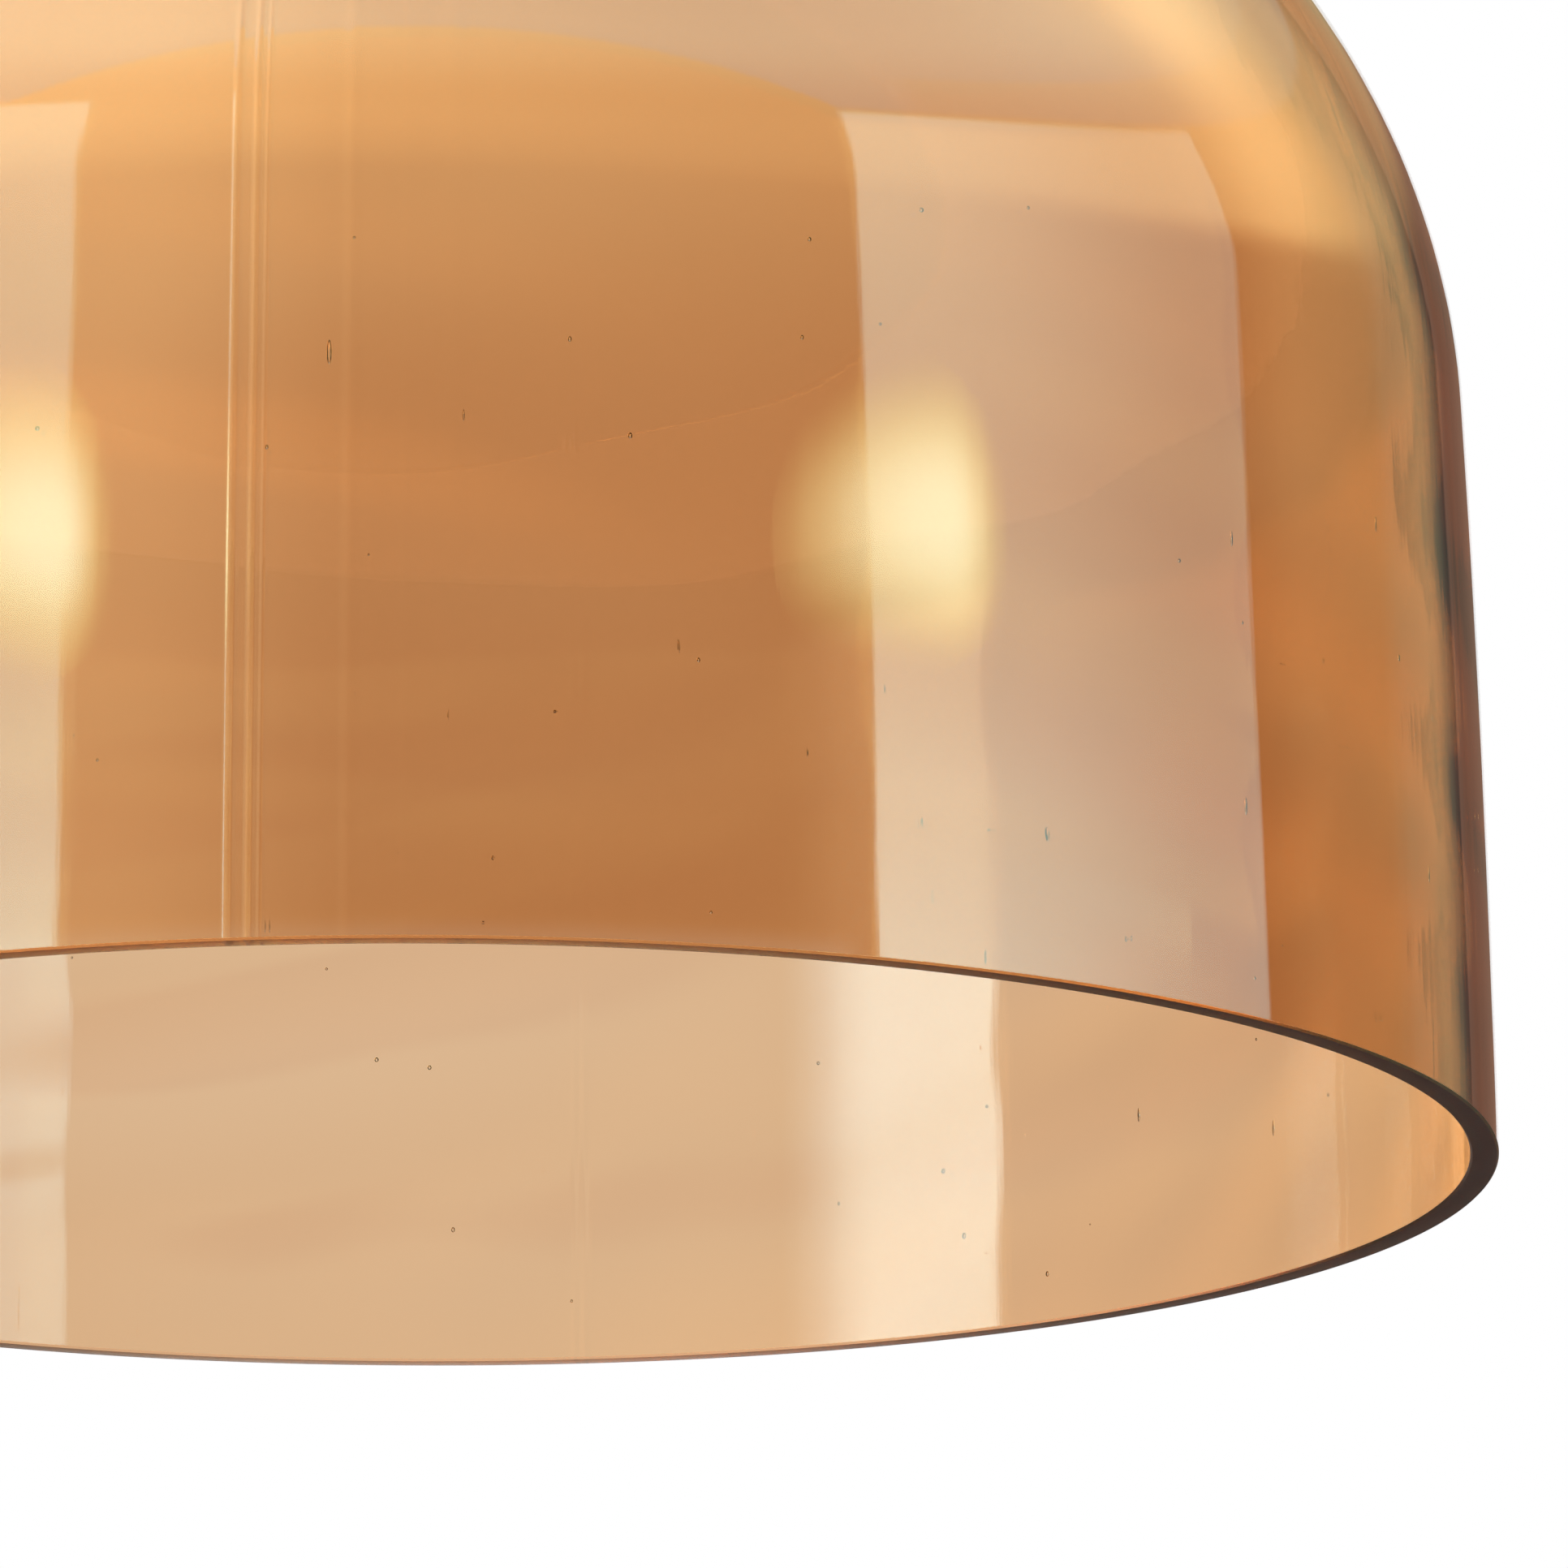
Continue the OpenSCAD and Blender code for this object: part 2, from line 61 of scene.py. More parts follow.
# %% [markdown]
# ## Driving sizes
#
# A finish or a surface can only sit right if it starts from the part it belongs to. So the
# levels and radii below come from the boxes of the measured parts, and only the shape of the
# bell's curve, which a box can't tell, is written out as its few dimensions.

# %% Levels and radii taken from the parts
shade_lo, shade_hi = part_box("glass_shade")
cup_lo, cup_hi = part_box("top_cup")
bulb_lo, bulb_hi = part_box("bulb_globe")
rim_z = shade_lo.z
seat_z = shade_hi.z
mouth_r = 0.150
print("rim at", round(rim_z, 4), "seat at", round(seat_z, 4))

# %% Shape of the blown bell
skirt_h = 0.107
skirt_taper = 0.0037
skirt_power = 1.5
dome_rise = 0.122
rim_wall = 0.004
dome_wall = 0.0036
seat_r = 0.037
neck_hole_r = 0.0215
rim_bevel = 0.0003
print("bell height", round(seat_z - rim_z, 4))

# %% [markdown]
# ## Shader arithmetic
#
# Wiring Math nodes by hand hides what a pattern means. One small class wraps a value socket, so
# that `1 - mask * depth` adds the nodes itself, and one method adds any other node. Colours go
# through Mix nodes, because a Math node would turn them grey.

# %% A value that does its own sums, and a bench to wire a finish on
class Value:
    def __init__(self, bench, socket):
        self.bench = bench
        self.socket = socket

    def sum_with(self, operation, *others):
        return self.bench.maths(operation, self, *others)

    def __add__(self, other):
        return self.sum_with("ADD", other)

    def __radd__(self, other):
        return self.sum_with("ADD", other)

    def __sub__(self, other):
        return self.sum_with("SUBTRACT", other)

    def __rsub__(self, other):
        return self.bench.maths("SUBTRACT", other, self)

    def __mul__(self, other):
        return self.sum_with("MULTIPLY", other)

    def __rmul__(self, other):
        return self.sum_with("MULTIPLY", other)

    def __truediv__(self, other):
        return self.sum_with("DIVIDE", other)


class Bench:
    """The node tree of one finish, emptied and ready for wiring."""

    def __init__(self, tree):
        self.tree = tree
        self.tree.nodes.clear()

    def add(self, kind, settings=None, sockets=None, output=0):
        node = self.tree.nodes.new(kind)
        for name, value in (settings or {}).items():
            setattr(node, name, value)
        for name, value in (sockets or {}).items():
            self.feed(node.inputs[name], value)
        return Value(self, node.outputs[output]) if len(node.outputs) else node

    def feed(self, socket, value):
        if isinstance(value, Value):
            self.tree.links.new(value.socket, socket)
        else:
            socket.default_value = value

    def maths(self, operation, *values):
        sockets = dict(enumerate(values))
        return self.add("ShaderNodeMath", {"operation": operation}, sockets)

    def mix(self, factor, first, second):
        sockets = {0: factor, 6: first, 7: second}
        return self.add("ShaderNodeMix", {"data_type": "RGBA"}, sockets, output=2)

    def ease(self, value, low, high):
        sockets = {"Value": value, "From Min": low, "From Max": high}
        return self.add("ShaderNodeMapRange", {"interpolation_type": "SMOOTHSTEP"}, sockets)

    def band(self, value, low, high, soft):
        rise = self.ease(value, low - soft, low + soft)
        fall = self.ease(value, high - soft, high + soft)
        return rise * (1 - fall)

    def place(self, scale=(1, 1, 1)):
        here = self.add("ShaderNodeTexCoord", output=3)
        return self.add("ShaderNodeMapping", sockets={"Vector": here, "Scale": scale})

    def noise(self, vector, scale, detail=2.0):
        sockets = {"Vector": vector, "Scale": scale, "Detail": detail}
        return self.add("ShaderNodeTexNoise", sockets=sockets)


print("bench ready")

# %% [markdown]
# ## The camera
#
# The lamp is seen from below and a little to one side of its axis, from about two metres away,
# through a long lens that shows the right half of the bell and its mouth. A camera is aimed by
# three vectors: right, up and back, which are the columns of its turn.

# %% Camera below the rim
camera_back = 2.0614
camera_drop = 0.416
camera_yaw = math.radians(1.409)
camera_pitch = math.radians(12.862)
camera_roll = math.radians(-0.089)
lens_mm = 346.6

camera_data = bpy.data.cameras.new("studio_camera")
camera_data.sensor_width = 36.0
camera_data.lens = lens_mm
camera_data.clip_end = 100.0
camera = bpy.data.objects.new("studio_camera", camera_data)
bpy.context.scene.collection.objects.link(camera)
turn = Matrix.Rotation(-camera_yaw, 4, "Z") @ Matrix.Rotation(math.pi / 2 + camera_pitch, 4, "X")
turn = turn @ Matrix.Rotation(camera_roll, 4, "Z")
camera.matrix_world = Matrix.Translation((0.0, -camera_back, rim_z - camera_drop)) @ turn
bpy.context.scene.camera = camera
print("camera at", tuple(round(v, 3) for v in camera.matrix_world.translation))

# %% [markdown]
# ## The bell's outline
#
# Blown glass is turned on its axis, so one outline gives the whole bell. The skirt pulls in a
# little as it rises, and the shoulder is part of an ellipse that takes over at the same slope.
# The same formulas, moved in by the wall, give the inside.

# %% Radius of the skirt, and the ellipse of the shoulder
shoulder_r = mouth_r - skirt_taper
slope_ratio = skirt_power * skirt_taper / skirt_h * dome_rise / shoulder_r
dome_start = math.asin((math.sqrt(1 + 4 * slope_ratio ** 2) - 1) / (2 * slope_ratio))
dome_a = shoulder_r / math.cos(dome_start)
dome_centre_h = skirt_h - dome_rise * math.sin(dome_start)


def skirt_r(height):
    return mouth_r - skirt_taper * (height / skirt_h) ** skirt_power


def skirt_wall(height):
    return rim_wall + (dome_wall - rim_wall) * height / skirt_h


def ellipse_arc(semi_r, semi_h, start, end, steps):
    angles = [start + (end - start) * step / steps for step in range(steps + 1)]
    return [(semi_r * math.cos(a), dome_centre_h + semi_h * math.sin(a)) for a in angles]


print("ellipse", round(dome_a, 6), round(dome_centre_h, 6))

# %% The outline, from the rim up the outside and back down the inside
skirt_steps = 46
dome_steps = 60
inner_a = dome_a - dome_wall
inner_b = dome_rise - dome_wall
inner_start = math.asin(dome_rise / inner_b * math.sin(dome_start))
skirt_rows = [skirt_h * row / skirt_steps for row in range(1, skirt_steps)]
outside = [(skirt_r(h), h) for h in skirt_rows]
outside += ellipse_arc(dome_a, dome_rise, dome_start, math.acos(seat_r / dome_a), dome_steps)
inside = [(skirt_r(h) - skirt_wall(h), h) for h in skirt_rows]
inside += ellipse_arc(inner_a, inner_b, inner_start, math.acos(seat_r / inner_a), dome_steps)
seat_h = outside[-1][1]
under_seat_h = inside[-1][1]
hole_edge = [(neck_hole_r, seat_h), (neck_hole_r, under_seat_h)]
rim_out_r = mouth_r
rim_in_r = mouth_r - rim_wall
rim_edge = [(rim_in_r, rim_bevel), (rim_in_r + rim_bevel, 0.0)]
rim_edge += [(rim_out_r - rim_bevel, 0.0), (rim_out_r, rim_bevel)]
bell_outline = outside + hole_edge + inside[::-1] + rim_edge
print(len(bell_outline), "points in the outline")

# %% [markdown]
# ## Turning an outline
#
# A lathe is the spin operator: one wire of vertices is swept round the axis and its last copy is
# merged with its first. Recalculating the normals after the merge makes every face point out,
# and only then is the skin shaped any further.

# %% A lathe, and a bench for finished skins
def turned(outline, steps, base_z=0.0, closed=True):
    skin = bmesh.new()
    wire = [skin.verts.new((radius, 0.0, base_z + height)) for radius, height in outline]
    edges = [skin.edges.new(pair) for pair in zip(wire, wire[1:])]
    if closed:
        edges.append(skin.edges.new((wire[-1], wire[0])))
    bmesh.ops.spin(
        skin, geom=wire + edges, cent=(0, 0, 0), axis=(0, 0, 1), dvec=(0, 0, 0),
        angle=2 * math.pi, steps=steps, use_merge=True, use_duplicate=False)
    bmesh.ops.remove_doubles(skin, verts=skin.verts[:], dist=1e-6)
    bmesh.ops.recalc_face_normals(skin, faces=skin.faces[:])
    return skin


def piece(name, skin, body, replaced, finish, crease=40.0):
    mesh = bpy.data.meshes.new(name)
    skin.to_mesh(mesh)
    skin.free()
    mesh.polygons.foreach_set("use_smooth", [True] * len(mesh.polygons))
    mesh.set_sharp_from_angle(angle=math.radians(crease))
    mesh.materials.append(finish)
    thing = bpy.data.objects.new(name, mesh)
    bpy.context.scene.collection.objects.link(thing)
    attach(thing, body)
    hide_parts(*replaced)
    print(name, len(mesh.polygons), "faces")
    return thing


# %% [markdown]
# ## Amber glass
#
# Coloured glass is clear at its surface and coloured in its depth: light loses blue first on its
# way through. So the surface is plain glass and a Volume Absorption node does the colouring,
# which makes the glass deeper where it is thick or seen edge on. Drawing lines left by the
# mould are ridges a few hundredths of a millimetre high, and the rim is ground, so it is rough.

# %% The amber glass finish
glass_ior = 1.5
amber_density = 400.0
amber_colour = (0.795, 0.495, 0.1375, 1.0)
ground_roughness = 0.42
degrees = 180 / math.pi
# each drawing line: angle from the front, half width in degrees, height in metres
draw_lines = [(-9.75, 0.3, 0.000085), (-8.7, 0.26, 0.00007), (-8.1, 0.16, 0.00003)]
draw_lines += [(170.35, 0.34, 0.000045), (170.95, 0.3, 0.00003), (186.9, 0.8, 0.00002)]
draw_lines += [(-3.7, 0.6, 0.00004), (-0.9, 0.3, 0.00002), (1.6, 0.8, 0.00004)]


def amber_glass():
    material = bpy.data.materials.new("amber_glass")
    material.use_nodes = True
    bench = Bench(material.node_tree)
    here = bench.add("ShaderNodeTexCoord", output=3)
    x = bench.add("ShaderNodeSeparateXYZ", sockets={"Vector": here}, output=0)
    y = Value(bench, x.socket.node.outputs["Y"])
    z = Value(bench, x.socket.node.outputs["Z"])
    angle = bench.maths("ARCTAN2", x, 0 - y)
    around = angle * degrees
    direction = bench.add("ShaderNodeCombineXYZ", sockets={
        "X": bench.maths("SINE", angle), "Y": bench.maths("COSINE", angle), "Z": z * 0.3})
    ridges = 0.0
    for line, half_width, height in draw_lines:
        off = bench.maths("ABSOLUTE", around - line)
        ridges = ridges + (1 - bench.ease(off, 0.0, half_width)) * height
    streaks = bench.noise(direction, 34.0, 1.0) * 0.000012
    streaks = streaks + bench.noise(direction, 150.0, 2.0) * 0.0000022
    ripple = bench.noise(here, 60.0, 1.0) * 0.000006
    ground = 1 - bench.ease(z, rim_z + 0.0002, rim_z + 0.00035)
    grain = bench.noise(here, 2600.0, 2.0) * 0.00003 * ground
    height = ridges + streaks + ripple + grain
    bump = bench.add("ShaderNodeBump", sockets={"Height": height, "Distance": 1.0, "Strength": 1.0})
    surface = bench.add("ShaderNodeBsdfPrincipled", sockets={
        "Base Color": (1, 1, 1, 1), "Roughness": ground * ground_roughness, "IOR": glass_ior,
        "Transmission Weight": 1.0, "Normal": bump})
    depth = bench.add("ShaderNodeVolumeAbsorption", sockets={
        "Color": amber_colour, "Density": amber_density})
    bench.add("ShaderNodeOutputMaterial", sockets={"Surface": surface, "Volume": depth})
    return material


glass_finish = amber_glass()
print("amber glass wired")

# %% [markdown]
# ## The bell
#
# A free-blown wall is never quite true. The skin is turned first, and then each vertex is moved
# along its radius by a few hundredths of a millimetre, the inside more than the outside, so that
# reflections and the dark line at the silhouette waver as they do in hand-made glass.

# %% Turn the bell and let its wall waver
bell_sides = 400
random.seed(7)
inner_waves = [(random.randint(3, 14), random.uniform(60, 230), random.uniform(0, 6.3))
               for _ in range(9)]
outer_waves = [(random.randint(2, 7), random.uniform(20, 90), random.uniform(0, 6.3))
               for _ in range(6)]


def waver(waves, angle, z):
    return sum(math.sin(turns * angle + pitch * z + shift) for turns, pitch, shift in waves)


bell = turned(bell_outline, bell_sides, base_z=rim_z)
for vertex in bell.verts:
    radius = math.hypot(vertex.co.x, vertex.co.y)
    height = vertex.co.z - rim_z
    fade = min(max((height - 0.002) / 0.02, 0.0), 1.0) * min(max((radius - 0.05) / 0.04, 0.0), 1.0)
    if height > skirt_h:
        reach = math.hypot(radius / dome_a, (height - dome_centre_h) / dome_rise)
        is_inner = reach < 1 - 0.5 * dome_wall / dome_a
    else:
        is_inner = radius < skirt_r(max(height, 0.0)) - 0.5 * dome_wall
    angle = math.atan2(vertex.co.y, vertex.co.x)
    waves, amount = (inner_waves, 0.00003) if is_inner else (outer_waves, 0.000012)
    shift = amount * (waver(waves, angle, height) - (0 if is_inner else len(waves))) * fade
    vertex.co.x *= 1 + shift / radius
    vertex.co.y *= 1 + shift / radius
print(len(bell.verts), "vertices in the bell")

# %% [markdown]
# ## Seeds
#
# Hand-made glass traps a few air bubbles, called seeds. A seed is a tiny hollow, so its faces
# point into it, and it may be drawn out along the wall. A bump can't show one, because it lies
# inside the glass: the seeds are joined to the bell's own skin, as real hollows.

# %% A sprinkle of seeds in the wall
def add_seed(skin, angle, height, radius, stretch):
    middle = skirt_r(height) - 0.5 * skirt_wall(height)
    place = Matrix.Rotation(angle, 4, "Z") @ Matrix.Translation((middle, 0.0, rim_z + height))
    made = bmesh.ops.create_icosphere(skin, subdivisions=2, radius=radius,
                                      matrix=place @ Matrix.Diagonal((1, 1, stretch, 1)))
    faces = {face for vertex in made["verts"] for face in vertex.link_faces}
    bmesh.ops.reverse_faces(skin, faces=list(faces))


seed_count = 110
random.seed(21)
for seed in range(seed_count):
    add_seed(bell, random.uniform(0, 2 * math.pi), random.uniform(0.004, skirt_h),
             random.uniform(0.00012, 0.00034), random.choice([1.0, 1.2, 1.5, 5.0]))
print(seed_count, "seeds blown in")

# %% The bell becomes a piece
piece("blown_bell", bell, "shade", ["glass_shade"], glass_finish)

# %% [markdown]
# ## Finishes for the fittings
#
# Metal fittings look real when three things vary a little: the colour, as it tarnishes in
# patches, the gloss, where hands have touched it, and the surface, which keeps the marks of the
# lathe. Turned parts carry those marks as fine rings round the lamp's axis.

# %% Shared beginnings of a finish
def new_finish(name):
    material = bpy.data.materials.new(name)
    material.use_nodes = True
    return material, Bench(material.node_tree)


def close_finish(bench, height, **sockets):
    bump = bench.add("ShaderNodeBump", sockets={"Height": height, "Distance": 1.0})
    names = {name.replace("_", " "): value for name, value in sockets.items()}
    surface = bench.add("ShaderNodeBsdfPrincipled", sockets={**names, "Normal": bump})
    bench.add("ShaderNodeOutputMaterial", sockets={"Surface": surface})


def around_axis(bench):
    here = bench.add("ShaderNodeTexCoord", output=3)
    x = bench.add("ShaderNodeSeparateXYZ", sockets={"Vector": here}, output=0)
    y = Value(bench, x.socket.node.outputs["Y"])
    z = Value(bench, x.socket.node.outputs["Z"])
    return bench.maths("ARCTAN2", x, 0 - y), bench.maths("SQRT", x * x + y * y), z


# %% Metals: turned with rings, or plain
ring_pitch_scale = 2600.0


def metal(name, light, deep, gloss, rings=0.0, patch=70.0):
    material, bench = new_finish(name)
    angle, radius, z = around_axis(bench)
    rows = bench.add("ShaderNodeCombineXYZ", sockets={
        "X": angle * 1.4, "Y": radius * ring_pitch_scale, "Z": z * ring_pitch_scale})
    lathe = bench.noise(rows, 1.0, 2.0)
    touch = bench.noise(bench.place(), patch, 4.0)
    blotch = bench.ease(bench.noise(bench.place(), patch * 0.4, 3.0), 0.35, 0.7)
    colour = bench.mix(blotch, light, deep)
    roughness = gloss + (touch - 0.5) * 0.14 + (lathe - 0.5) * rings * 0.3
    scratch = bench.noise(bench.place((1, 1, 6)), 1500.0, 2.0) * 0.0000015
    close_finish(bench, lathe * rings * 0.000012 + scratch, Base_Color=colour,
                 Roughness=roughness, Metallic=1.0)
    return material


finishes = {}
finishes["satin_brass"] = metal("satin_brass", (0.58, 0.38, 0.16, 1), (0.46, 0.28, 0.11, 1), 0.32, 1.0)
finishes["bare_brass"] = metal("bare_brass", (0.86, 0.63, 0.30, 1), (0.70, 0.47, 0.20, 1), 0.24, 0.5)
finishes["zinc_steel"] = metal("zinc_steel", (0.70, 0.71, 0.74, 1), (0.55, 0.57, 0.60, 1), 0.34, 0.2)
finishes["spring_bronze"] = metal("spring_bronze", (0.80, 0.48, 0.28, 1), (0.62, 0.34, 0.2, 1), 0.3)
finishes["bulb_cap_metal"] = metal("bulb_cap_metal", (0.77, 0.75, 0.71, 1), (0.62, 0.6, 0.56, 1), 0.27)
finishes["nickel_wire"] = metal("nickel_wire", (0.68, 0.66, 0.62, 1), (0.5, 0.49, 0.46, 1), 0.35)
finishes["solder"] = metal("solder", (0.66, 0.66, 0.67, 1), (0.48, 0.48, 0.5, 1), 0.42, 0.0, 400.0)
print(len(finishes), "metals")

# %% Mouldings, glazes and paints
def moulded(name, light, deep, gloss, grain, fleck=None, coat=0.0, patch=120.0):
    material, bench = new_finish(name)
    here = bench.place()
    blotch = bench.ease(bench.noise(here, patch, 4.0), 0.3, 0.7)
    colour = bench.mix(blotch, light, deep)
    if fleck:
        spots = bench.ease(bench.noise(here, 1400.0, 1.0), 0.66, 0.72)
        colour = bench.mix(spots, colour, fleck)
    roughness = gloss + (bench.noise(here, patch * 2.5, 3.0) - 0.5) * 0.16
    skin = bench.noise(here, 900.0, 2.0) * grain + bench.noise(here, patch, 1.0) * grain * 4
    close_finish(bench, skin, Base_Color=colour, Roughness=roughness, Coat_Weight=coat)
    return material


finishes["phenolic"] = moulded("phenolic", (0.022, 0.018, 0.016, 1), (0.035, 0.026, 0.021, 1),
                               0.34, 0.000003, (0.06, 0.045, 0.035, 1), 0.25)
finishes["porcelain"] = moulded("porcelain", (0.82, 0.80, 0.75, 1), (0.74, 0.71, 0.64, 1),
                                0.22, 0.000004, (0.5, 0.44, 0.36, 1), 0.6)
finishes["gasket_rubber"] = moulded("gasket_rubber", (0.03, 0.03, 0.032, 1), (0.05, 0.05, 0.05, 1),
                                    0.72, 0.000012)
finishes["green_steel"] = moulded("green_steel", (0.03, 0.2, 0.07, 1), (0.02, 0.14, 0.05, 1),
                                  0.36, 0.000004, (0.5, 0.5, 0.45, 1), 0.3)
finishes["nylon"] = moulded("nylon", (0.80, 0.79, 0.74, 1), (0.72, 0.7, 0.64, 1), 0.45, 0.000004)
finishes["black_glass"] = moulded("black_glass", (0.012, 0.012, 0.016, 1), (0.03, 0.03, 0.036, 1),
                                  0.1, 0.000003, None, 0.8)
finishes["circuit_board"] = moulded("circuit_board", (0.03, 0.15, 0.06, 1), (0.02, 0.1, 0.05, 1),
                                    0.4, 0.00001, (0.7, 0.6, 0.3, 1), 0.2, 500.0)
finishes["phosphor"] = moulded("phosphor", (0.88, 0.60, 0.13, 1), (0.80, 0.47, 0.08, 1),
                               0.6, 0.00001, (0.95, 0.78, 0.35, 1), 0.0, 700.0)
print(len(finishes), "finishes so far")

# %% [markdown]
# ## Clear glass of the bulb
#
# The bulb's glass is thin, so it hardly colours what is behind it: a plain glass with a very
# faint warm tint and a slow ripple left by the mould.

# %% The clear glass finish
bulb_glass, bench = new_finish("clear_glass")
haze = bench.ease(bench.noise(bench.place(), 40.0, 3.0), 0.55, 0.8) * 0.03
close_finish(bench, bench.noise(bench.place((1, 1, 0.4)), 90.0, 1.0) * 0.00001,
             Base_Color=(1.0, 0.985, 0.96, 1), Roughness=haze, IOR=1.5, Transmission_Weight=1.0)
finishes["clear_glass"] = bulb_glass
finishes["amber_glass"] = glass_finish
print("clear glass wired")

# %% [markdown]
# ## Finishes on the measured parts
#
# The part's record names a finish for every part. Reading it there, and not repeating the list
# here, means that a part can't be missed and that both always agree.

# %% Put each finish on the measured parts that ask for it
for row in frame["record"]["subparts"]:
    part = nodes[row["node"]]
    part.data.materials.clear()
    part.data.materials.append(finishes[row["material_slot"]])
print("finishes on", len(nodes), "parts")

# %% [markdown]
# ## The spun cup
#
# The cup is a disc of brass pushed over a wooden form while it spins, so its outline is one
# smooth line: a flat top, a rounded shoulder, a straight wall and a rolled bead at the mouth.
# Its finished outline is turned here with the bead drawn as a true half round.

# %% Outline of the cup, walked round from the hole in its top
cup_r = 0.032
cup_wall = 0.0012
cup_corner = 0.007
cup_hole_r = 0.0053
bead = cup_hi.x - cup_r
cup_top = cup_hi.z
cup_base = cup_lo.z


def arc(centre, radius, start, end, steps):
    angles = [math.radians(start + (end - start) * step / steps) for step in range(steps + 1)]
    return [(centre[0] + radius * math.cos(a), centre[1] + radius * math.sin(a)) for a in angles]


cup_centre = (cup_r - cup_corner, cup_top - cup_corner)
cup_line = [(cup_hole_r, cup_top - cup_wall), (cup_hole_r, cup_top)]
cup_line += arc(cup_centre, cup_corner, 90, 0, 20)
cup_line += arc((cup_r, cup_base + bead), bead, 90, -90, 14)
cup_line += [(cup_r - cup_wall, cup_base)]
cup_line += arc(cup_centre, cup_corner - cup_wall, 0, 90, 20)
piece("spun_cup", turned(cup_line, 192), "holder", ["top_cup"],
      finishes["satin_brass"])

# %% [markdown]
# ## The bulb
#
# The globe is blown into a mould: a ball that runs through a hollow curve into a straight neck.
# The two arcs must meet at one angle, which comes from the triangle between their centres.
# Inside, each filament is a thin rod coated with phosphor, held by a metal clip at each end.

# %% Outline of the globe, outside and inside
globe_r = bulb_hi.x
globe_z = bulb_lo.z + globe_r
globe_wall = 0.0008
neck_r = 0.0127
fillet_r = 0.005
neck_top_z = bulb_hi.z


def globe_line(inset):
    radius = globe_r - inset
    fillet = fillet_r + inset
    neck = neck_r - inset
    rise = math.sqrt((radius + fillet) ** 2 - (neck + fillet) ** 2)
    touch = math.degrees(math.atan2(rise, neck + fillet))
    line = arc((0.0, globe_z), radius, -90, touch, 64)
    line += arc((neck + fillet, globe_z + rise), fillet, 180 + touch, 180, 14)
    return line + [(neck, neck_top_z)]


globe_skin = turned(globe_line(0.0) + globe_line(globe_wall)[::-1], 128, closed=False)
piece("blown_globe", globe_skin, "bulb", ["bulb_globe"], bulb_glass)

# %% Filament rods with rounded ends, and the clip at each end
filament_lo, filament_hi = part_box("bulb_filaments")
filament_r = 0.0009
filament_count = 4
rod_top = Vector((0.005, 0.0, filament_hi.z - 0.0001))
rod_base = Vector((0.0086, 0.0, filament_lo.z + 0.0001))
rods = bmesh.new()
clips = bmesh.new()
for rod in range(filament_count):
    spin = Matrix.Rotation(math.radians(45 + rod * 360 / filament_count), 4, "Z")
    along = rod_base - rod_top
    place = spin @ Matrix.Translation((rod_top + rod_base) / 2)
    place = place @ along.to_track_quat("Z", "Y").to_matrix().to_4x4()
    made = bmesh.ops.create_cone(rods, cap_ends=True, segments=24, radius1=filament_r,
                                 radius2=filament_r, depth=along.length - 0.003, matrix=place)
    ring = {edge for vertex in made["verts"] for edge in vertex.link_edges
            if len([face for face in edge.link_faces if len(face.verts) > 4]) == 1}
    bmesh.ops.bevel(rods, geom=list(ring), offset=0.0005, segments=4, profile=0.5,
                    affect="EDGES", material=-1)
    for end in (-1, 1):
        grip = place @ Matrix.Translation((0, 0, end * (along.length / 2 - 0.0012)))
        cube = bmesh.ops.create_cube(clips, size=1.0,
                                     matrix=grip @ Matrix.Diagonal((0.0011, 0.0004, 0.0022, 1)))
        edges = {edge for vertex in cube["verts"] for edge in vertex.link_edges}
        bmesh.ops.bevel(clips, geom=list(edges), offset=0.0001, segments=2, profile=0.5,
                        affect="EDGES", material=-1)
piece("filament_rods", rods, "bulb", ["bulb_filaments"], finishes["phosphor"])
piece("filament_clips", clips, "bulb", ["bulb_filaments"], finishes["nickel_wire"])

# %% [markdown]
# ## The studio
#
# Glass shows what is around it, so the studio is drawn in the world: a white backdrop for
# everything seen straight through, with a dark card to one side of it that edges the glass,
# and for reflections two tall softboxes, a light overhead and a dim room. The Light Path node
# tells a reflected ray from one that only passed through, and each light is a mask on the ray's
# direction. Real white softboxes would not do the same: these are tinted, mostly toward green
# and blue, to set the colour of each reflection in the amber glass, and no camera sees them.

# %% The white backdrop and the directions of the room
world = bpy.data.worlds.new("studio")
bpy.context.scene.world = world
world.use_nodes = True
room = Bench(world.node_tree)
ray = room.add("ShaderNodeTexCoord", output=0)
ray_x = room.add("ShaderNodeSeparateXYZ", sockets={"Vector": ray}, output=0)
ray_y = Value(room, ray_x.socket.node.outputs["Y"])
ray_z = Value(room, ray_x.socket.node.outputs["Z"])
around = room.maths("ARCTAN2", ray_x, 0 - ray_y) * degrees
side = room.maths("ABSOLUTE", around)
up = room.maths("ARCSINE", ray_z) * degrees
light_path = room.add("ShaderNodeLightPath").socket.node


def path(name):
    return room.maths("GREATER_THAN", Value(room, light_path.outputs[name]), 0.5)


print("the front is at 0 degrees, and the right-hand side is positive")

